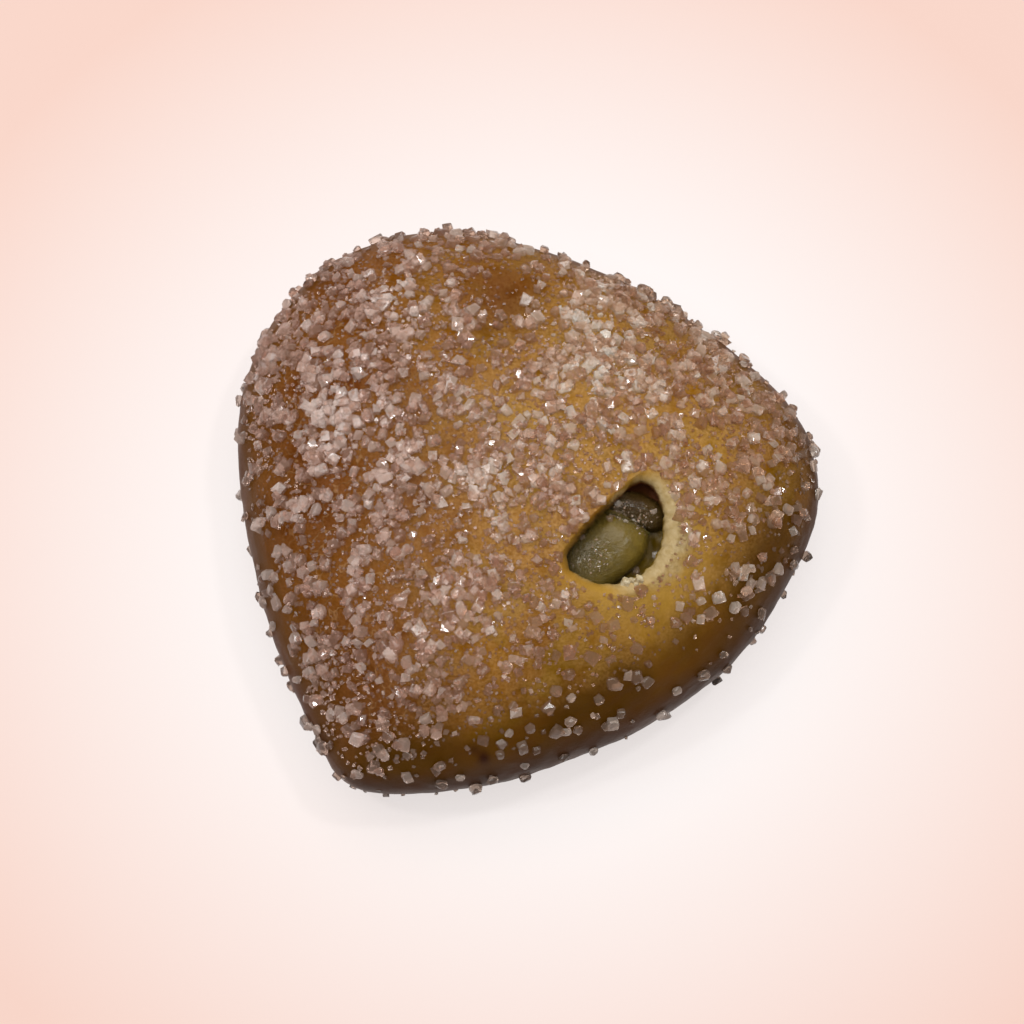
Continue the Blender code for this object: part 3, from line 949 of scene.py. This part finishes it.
def make_sugar_layer(kind, trees, ceiling, materials):
    """Chipped crystals that lie on the crust and on the sugar under them."""
    heap = CrystalHeap()
    rng = np.random.default_rng(kind.seed + 100)
    variants = [grain_shape(rng, kind.bevel, kind.chips) for _ in range(GRAIN_VARIANTS)]
    density = film_density if kind.in_film else heap_density
    for point, normal, size in zip(*sugar_places(kind, density)):
        shape, faces = variants[rng.integers(GRAIN_VARIANTS)]
        axes = grain_axes(rng, normal)
        level = resting_level(trees, point, normal, HEAP_SEARCH) * HEAP_SETTLING
        middle = point + normal * (level + grain_rise(size))
        placed = (shape * size) @ axes + middle
        if placed[:, 2].max() < ceiling:
            heap.add(placed, faces, tint_at(rng, point, kind.frost), painted_grain_shade(normal))
    return heap.finish(kind.name, materials)


def tree_of(piece):
    """A search tree over a piece's faces."""
    mesh = piece.data
    points, _ = read_points(mesh)
    return BVHTree.FromPolygons(points.tolist(), [poly.vertices[:] for poly in mesh.polygons])


def add_stray(heap, rng, trees, place, size, bevel, tint):
    """One chipped crystal that lies on the first surface found under a plan point."""
    start = Vector((*place, 2 * HEIGHT))
    hits = [tree.ray_cast(start, Vector((0, 0, -1))) for tree in trees]
    point, normal, _, _ = max((hit for hit in hits if hit[0]), key=lambda hit: hit[0].z)
    point, normal = np.array(point), np.array(normal)
    shape, faces = grain_shape(rng, bevel, STRAY_CHIPS)
    middle = point + normal * grain_rise(size)
    heap.add((shape * size) @ grain_axes(rng, normal) + middle, faces, tint, 0.0)


def make_strays(pieces, materials):
    """Crystals that fell into the vent, and the fine grains on the wet apple."""
    heap = CrystalHeap()
    rng = np.random.default_rng(STRAY_SEED)
    trees = [tree_of(piece) for piece in pieces]
    for x, y, size, tint in STRAY_CRYSTALS:
        add_stray(heap, rng, trees, (x, y), size, STRAY_BEVEL, tint)
    for x, y, spread, _ in WET_SPOTS:
        for place in rng.normal((x, y), spread * 0.5, (WET_GRAINS, 2)):
            if vent_distance(*place) < 0:
                size, tint = rng.uniform(*WET_GRAIN_SIZE), rng.uniform(*WET_GRAIN_TINT)
                add_stray(heap, rng, trees, place, size, 0.0, tint)
    return heap.finish("sugar_in_vent", materials)


def make_crumbs(crust):
    """Torn crumbs of pale dough on the vent's lower rim."""
    heap = CrystalHeap()
    rng = np.random.default_rng(CRUMB_SEED)
    trees = [tree_of(crust)]
    for x, y, size in RIM_CRUMBS:
        add_stray(heap, rng, trees, (x, y), size, CRUMB_BEVEL, 0.0)
    return heap.finish("rim_crumbs", (crumb_material(),))


def make_sugar(cad_top, materials):
    """All the sugar, from the coarse crystals to the fine grains on and between them."""
    made = [make_coarse_sugar(materials)]
    for kind in SUGAR_LAYERS:
        trees = [tree_of(piece) for piece in made]
        made.append(make_sugar_layer(kind, trees, cad_top + HEAP_LIMIT, materials))
    return made


# ---- Filling ----
def make_filling():
    """The thick syrup and soft apple that the pieces lie in."""
    rows = FILLING.rows(FILLING_COLUMNS, *FILLING_ROWS) + pool_rows(FILLING_COLUMNS)
    mesh = loft("filling", rows)
    points, normals = read_points(mesh)
    away = vent_distance(points[:, 0], points[:, 1])
    swell = layered_noise(points, SYRUP_SWELLS, 21) * smooth(1 - away / SYRUP_SEEN)
    write_points(mesh, points + normals * swell[:, None])
    # painted shade: the syrup is red-brown at the vent's far corner, where it meets the crust
    notch = smooth((points[:, 1] - NOTCH_FROM) / NOTCH_BLEND)
    set_mask(mesh, "shaded", notch * smooth((away + SYRUP_SHADE_FROM) / SYRUP_SHADE_BLEND))
    mesh.materials.append(syrup_material())
    return add_object("filling", mesh)


def piece_frame(piece):
    """A piece's middle, and the matrix that turns it into place."""
    turn = Euler([math.radians(angle) for angle in piece.turn]).to_matrix()
    return np.array(piece.centre), np.array(turn)


def block_reach(local, piece, growth=0.0):
    """1 on the surface of a soft-cornered block, less inside it."""
    half = np.array(piece.half_size) + growth
    return np.sum(np.abs(local / half) ** piece.boxiness, axis=-1) ** (1 / piece.boxiness)


def make_apple_piece(piece, pressing, seed, material):
    """A lump of apple, pushed in where the pieces that press on it lie."""
    bm = bmesh.new()
    bmesh.ops.create_icosphere(bm, subdivisions=APPLE_SUBDIVISIONS, radius=1)
    mesh = mesh_of(bm, piece.name)
    mesh.shade_smooth()
    directions, _ = read_points(mesh)
    centre, turn = piece_frame(piece)
    local = directions / block_reach(directions * piece.half_size, piece)[:, None]
    local = local * piece.half_size
    lift = layered_noise(local, APPLE_BUMPS, seed) - APPLE_DROP
    points = (local + directions * lift[:, None]) @ turn.T + centre
    for other in pressing:
        other_centre, other_turn = piece_frame(other)
        inside = (points - other_centre) @ other_turn
        reach = block_reach(inside, other, PIECE_CLEARANCE)
        pushed = inside / np.maximum(reach, 0.2)[:, None]
        inside = np.where(reach[:, None] < 1, pushed, inside)
        points = inside @ other_turn.T + other_centre
    write_points(mesh, points)
    set_mask(mesh, "wet", np.clip(spots(points[:, 0], points[:, 1], WET_SPOTS), 0, 1))
    set_mask(mesh, "grey", np.full(len(points), piece.grey))
    mesh.materials.append(material)
    return add_object("cooked_" + piece.name, mesh)


# ---- Materials ----
def colour(red, green, blue):
    """A linear colour from sRGB values of 0 to 255."""
    return (*((value / 255) ** 2.2 for value in (red, green, blue)), 1)


class Nodes:
    """A short way to build a material's nodes."""

    def __init__(self, name):
        self.material = bpy.data.materials.new(name)
        self.material.use_nodes = True
        self.tree = self.material.node_tree
        self.shader = self.tree.nodes["Principled BSDF"]

    def put(self, node, values):
        """Sets a node's inputs to numbers or colours, or links them to other outputs."""
        for name, value in values.items():
            if isinstance(value, bpy.types.NodeSocket):
                self.tree.links.new(value, node.inputs[name])
            else:
                node.inputs[name].default_value = value

    def add(self, kind, inputs=None, **settings):
        """Adds a node with its properties and inputs."""
        node = self.tree.nodes.new(kind)
        for name, value in settings.items():
            setattr(node, name, value)
        self.put(node, inputs or {})
        return node

    def place(self):
        """The point in the object's own space."""
        return self.add("ShaderNodeTexCoord").outputs["Object"]

    def across(self, axis="X"):
        """The place along one axis, in metres."""
        return self.add("ShaderNodeSeparateXYZ", {0: self.place()}).outputs[axis]

    def away(self):
        """The distance from the object's own origin, in metres."""
        node = self.add("ShaderNodeVectorMath", {0: self.place()}, operation="LENGTH")
        return node.outputs["Value"]

    def mask(self, name):
        """A number that the mesh holds for each point."""
        return self.add("ShaderNodeAttribute", attribute_name=name).outputs["Fac"]

    def noise(self, size, detail=3.0, roughness=0.55):
        """Noise with features of about the given size in metres."""
        inputs = {"Vector": self.place(), "Scale": 1 / size}
        inputs |= {"Detail": detail, "Roughness": roughness}
        return self.add("ShaderNodeTexNoise", inputs).outputs["Fac"]

    def spread(self, value, low, high, to_low=0.0, to_high=1.0):
        """Maps a range of a value to another, clamped."""
        inputs = dict(enumerate((value, low, high, to_low, to_high)))
        return self.add("ShaderNodeMapRange", inputs).outputs["Result"]

    def math(self, operation, a, b):
        """One sum on two values."""
        return self.add("ShaderNodeMath", {0: a, 1: b}, operation=operation).outputs[0]

    def times(self, a, b):
        """The product of two values."""
        return self.math("MULTIPLY", a, b)

    def mix(self, share, a, b):
        """Mixes two colours: other nodes' outputs, or sRGB values of 0 to 255."""
        a, b = (colour(*part) if isinstance(part, tuple) else part for part in (a, b))
        inputs = {0: share, 6: a, 7: b}
        return self.add("ShaderNodeMix", inputs, data_type="RGBA").outputs[2]

    def finish(self, values, relief=None, depth=0.0):
        """The material, with the shader's inputs and a relief of a depth in metres."""
        if relief:
            inputs = {"Strength": 1.0, "Distance": depth, "Height": relief}
            values["Normal"] = self.add("ShaderNodeBump", inputs).outputs["Normal"]
        self.put(self.shader, values)
        return self.material


def crust_material():
    """Baked crust: ochre to red-brown, glazed with syrup, pale where it tore open, with
    painted shade on its sides.
    """
    n = Nodes("baked_crust")
    broad = n.spread(n.noise(11 * MM, 2), 0.35, 0.65)
    patchy = n.spread(n.noise(3.6 * MM, 4), 0.3, 0.7)
    tone = n.mix(broad, (150, 98, 10), (130, 78, 4))
    olive = n.spread(n.noise(7 * MM, 2), 0.48, 0.6, 0, 0.55)
    tone = n.mix(olive, tone, (138, 108, 6))
    tone = n.mix(n.mask("reddish"), tone, n.mix(broad, (126, 76, 12), (106, 56, 6)))
    tone = n.mix(n.mask("brown"), tone, (92, 42, 2))
    tone = n.mix(n.mask("golden"), tone, (166, 120, 36))
    # The sides are darker, partly from a darker bake and partly as painted shade; the edge
    # band and the shaded side get the darkest painted shade.
    tone = n.mix(n.spread(n.mask("side"), 0.1, 0.6), tone, (100, 66, 28))
    tone = n.mix(n.mask("shaded"), tone, (84, 56, 4))
    edge = n.mix(broad, (118, 76, 38), (92, 56, 36))
    edge = n.mix(n.mask("shaded"), edge, (62, 42, 26))
    tone = n.mix(n.spread(n.mask("side"), 0.45, 0.95), tone, edge)
    tone = n.mix(n.times(patchy, 0.35), tone, (84, 46, 4))
    crumbs = n.spread(n.noise(0.5 * MM, 3, 0.7), 0.3, 0.7)
    melted = n.times(n.spread(n.noise(4 * MM, 3), 0.32, 0.52), n.mask("melted"))
    melted = n.times(melted, n.spread(n.mask("reddish"), 0, 1, 1, 0.7))
    film = n.times(melted, n.spread(crumbs, 0, 1, 0.1, 0.8))
    glazed = n.mix(n.mask("reddish"), (202, 154, 94), (154, 103, 60))
    tone = n.mix(film, tone, glazed)
    wrinkle = n.math("ABSOLUTE", n.math("SUBTRACT", n.noise(3.2 * MM, 1.5), 0.5), 0)
    wrinkle = n.times(n.spread(wrinkle, 0.006, 0.022, 1, 0), n.mask("reddish"))
    wrinkle = n.times(wrinkle, n.spread(n.mask("side"), 0.03, 0.16, 1, 0))
    tone = n.mix(n.times(wrinkle, 0.4), tone, (176, 134, 92))
    tone = n.mix(n.times(n.mask("glow"), 0.75), tone, (184, 144, 66))
    fibres = n.spread(n.noise(0.8 * MM, 3), 0.3, 0.7)
    dough = n.mix(fibres, (196, 173, 130), (170, 144, 94))
    tone = n.mix(n.spread(n.mask("pale"), 0.15, 1.0), tone, dough)
    # the vent's wall is red-brown at its far corner: partly the crust's own colour, partly
    # painted shade
    notch = n.spread(n.across("Y"), NOTCH_FROM, NOTCH_FROM + NOTCH_BLEND)
    wall = n.mix(notch, (140, 112, 40), (118, 46, 12))
    tone = n.mix(n.mask("inside"), tone, wall)
    tone = n.mix(n.mask("burnt"), tone, (48, 20, 10))
    roughness = n.spread(film, 0, 0.6, 0.46, 0.26)
    grains = n.times(n.noise(0.45 * MM, 2), n.spread(film, 0, 0.6, 0.35, 1.6))
    relief = n.math("ADD", grains, n.times(wrinkle, 0.6))
    looks = {"Base Color": tone, "Roughness": roughness, "Specular IOR Level": 0.1}
    return n.finish(looks, relief, 0.16 * MM)


LILAC = (238, 209, 205)
LILAC_SHARE = 0.45  # at its strongest, on the left of the photo
LILAC_RANGE = mm(-30, 14)


def sugar_finish(name, tints, dark, light, painted_shade_tone, transmission):
    """Crystals between two colours over a range of tints, with painted shade on the crust's
    side.
    """
    n = Nodes(name)
    tone = n.mix(n.spread(n.mask("tint"), *tints), dark, light)
    tone = n.mix(n.spread(n.across(), *LILAC_RANGE, LILAC_SHARE, 0), tone, LILAC)
    # painted shade: crystals where the crust turns down take a darker tone
    tone = n.mix(n.mask("shade"), tone, painted_shade_tone)
    roughness = n.spread(n.noise(0.6 * MM, 2), 0.35, 0.65, 0.04, 0.24)
    looks = {"Base Color": tone, "Roughness": roughness, "IOR": 1.5}
    return n.finish(looks | {"Transmission Weight": transmission})


def sugar_finishes():
    """Clear crystals, which take the crust's colour, and whitish ones, which scatter more."""
    # the third colour of each is the painted shade for crystals on the crust's side
    clear = ((206, 158, 124), (250, 218, 190), (168, 148, 134), 0.86)
    frosted = ((228, 194, 168), (255, 246, 234), (186, 172, 162), 0.7)
    return (
        sugar_finish("clear_sugar", (0.0, FROSTED_FROM), *clear),
        sugar_finish("frosted_sugar", (FROSTED_FROM, 1.0), *frosted),
    )


def crumb_material():
    """Dry, pale crumbs of dough."""
    n = Nodes("dough_crumbs")
    patchy = n.spread(n.noise(0.5 * MM), 0.35, 0.65)
    tone = n.mix(patchy, (214, 200, 168), (184, 162, 122))
    return n.finish({"Base Color": tone, "Roughness": 0.7}, n.noise(0.3 * MM, 2), 0.1 * MM)


def syrup_material():
    """Thick dark olive syrup with soft apple in it, with red-brown painted shade where it
    meets the crust at the vent's far corner.
    """
    n = Nodes("apple_syrup")
    cloud = n.spread(n.noise(2.4 * MM, 3), 0.35, 0.65)
    tone = n.mix(cloud, (84, 64, 2), (104, 82, 8))
    # red-brown painted shade at the vent's far corner
    tone = n.mix(n.mask("shaded"), tone, (84, 42, 10))
    roughness = n.spread(n.mask("shaded"), 0, 1, 0.35, 0.7)
    looks = {"Base Color": tone, "Roughness": roughness, "Specular IOR Level": 0.2}
    return n.finish(looks, n.noise(1.6 * MM, 2), 0.1 * MM)


def apple_material():
    """Wet, glassy cooked apple, olive to grey-brown, with fine wet grains in places."""
    n = Nodes("cooked_apple")
    cloud = n.spread(n.noise(3.5 * MM, 3), 0.35, 0.65)
    tone = n.mix(cloud, (120, 100, 42), (98, 82, 34))
    greyer = n.spread(n.across(), 14 * MM, 7 * MM)
    tone = n.mix(greyer, tone, (88, 76, 46))
    tone = n.mix(n.mask("grey"), tone, n.mix(cloud, (84, 66, 34), (66, 48, 22)))
    grains = n.spread(n.noise(0.35 * MM, 2, 0.7), 0.5, 0.62)
    grains = n.times(grains, n.mask("wet"))
    tone = n.mix(n.times(grains, 0.5), tone, (168, 160, 132))
    looks = {
        "Base Color": tone,
        "Roughness": n.spread(n.mask("wet"), 0, 1, 0.36, 0.12),
        "Specular IOR Level": 0.35,
        "Subsurface Weight": 0.35,
        "Subsurface Scale": 2 * MM,
        "Subsurface Radius": (1.0, 0.85, 0.4),
    }
    relief = n.math("ADD", n.times(grains, 0.7), n.noise(2 * MM, 3))
    return n.finish(looks, relief, 0.35 * MM)


def floor_material():
    """Plain, pale, matt floor that glows like an overexposed backdrop, pinker far off."""
    n = Nodes("pale_floor")
    tone = n.mix(n.spread(n.away(), *FLOOR_FADE), (255, 248, 246), (247, 212, 199))
    lit = n.mix(FLOOR_GLOW, tone, (0, 0, 0))
    looks = {"Base Color": lit, "Roughness": 0.9}
    return n.finish(looks | {"Emission Color": tone, "Emission Strength": FLOOR_GLOW})


# ---- Stage ----
def add_floor():
    """A wide, flat, pale floor."""
    bm = bmesh.new()
    bmesh.ops.create_grid(bm, x_segments=4, y_segments=4, size=FLOOR_REACH)
    mesh = mesh_of(bm, "floor")
    mesh.materials.append(floor_material())
    floor = add_object("floor", mesh)
    floor.location.z = -FLOOR_DROP


def add_light(name, place, size, watts):
    """A square area light that shines at the turnover."""
    data = bpy.data.lights.new(name, "AREA")
    data.size = size
    data.energy = watts
    light = add_object(name, data)
    light.location = place
    light.rotation_euler = Vector(place).to_track_quat("Z", "Y").to_euler()


def light_scene():
    """Soft studio light from above, a little from behind."""
    add_light("key", (-0.14, 0.26, 1.14), 1.1, 9.0)
    add_light("glint", (0.22, 0.12, 0.62), 0.06, 0.75)
    add_light("spark", (-0.30, 0.02, 0.60), 0.06, 0.6)
    world = bpy.data.worlds.new("studio")
    world.use_nodes = True
    background = world.node_tree.nodes["Background"]
    background.inputs["Color"].default_value = (1.0, 0.95, 0.9, 1)
    background.inputs["Strength"].default_value = 0.25
    scene = bpy.context.scene
    scene.world = world
    scene.view_settings.view_transform = "Standard"
    light_paths = scene.cycles
    light_paths.caustics_refractive = False
    light_paths.caustics_reflective = False
    light_paths.max_bounces = 7
    light_paths.diffuse_bounces = 2
    light_paths.glossy_bounces = 3
    light_paths.transmission_bounces = 6
    light_paths.adaptive_threshold = 0.03
    light_paths.use_denoising = True
    light_paths.denoising_input_passes = "RGB"


def add_camera():
    """A camera that looks down on the turnover, a little from the front."""
    data = bpy.data.cameras.new("camera")
    data.lens = CAMERA_LENS
    data.sensor_width = 36.0
    data.clip_start = 0.01
    camera = add_object("camera", data)
    back = Vector((0, -math.cos(CAMERA_ELEVATION), math.sin(CAMERA_ELEVATION)))
    camera.location = Vector(CAMERA_TARGET) + back * CAMERA_DISTANCE
    camera.rotation_euler = (math.pi / 2 - CAMERA_ELEVATION, 0, 0)
    bpy.context.scene.camera = camera


def join_frame(piece, slot, *nodes):
    """Ties a piece to the part: its body and what it replaces; its material slot is not used.
    """
    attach(piece, "root")
    if nodes:
        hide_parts(*nodes)


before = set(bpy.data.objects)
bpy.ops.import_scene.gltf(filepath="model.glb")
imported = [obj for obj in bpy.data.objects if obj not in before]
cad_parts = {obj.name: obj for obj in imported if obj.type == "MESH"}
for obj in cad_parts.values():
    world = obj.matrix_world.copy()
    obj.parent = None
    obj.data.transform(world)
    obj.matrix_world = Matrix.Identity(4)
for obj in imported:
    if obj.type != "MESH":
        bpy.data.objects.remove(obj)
cad_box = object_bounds()
add_camera()
light_scene()
add_floor()

crust = make_crust()
join_frame(crust, "sugared_crust", "pastry")
join_frame(make_crumbs(crust), "sugared_crust")
crystal_finishes = sugar_finishes()
for sugar in make_sugar(cad_box[1][2], crystal_finishes):
    join_frame(sugar, "sugared_crust")

filling = make_filling()
join_frame(filling, "apple_filling", "apple_filling")
in_vent = [filling]
apple_finish = apple_material()
for number, apple in enumerate(APPLE_PIECES):
    lump = make_apple_piece(apple, APPLE_PIECES[number + 1 :], 31 + 10 * number, apple_finish)
    join_frame(lump, "cooked_apple", apple.name)
    in_vent.append(lump)
join_frame(make_strays(in_vent, crystal_finishes), "sugared_crust")
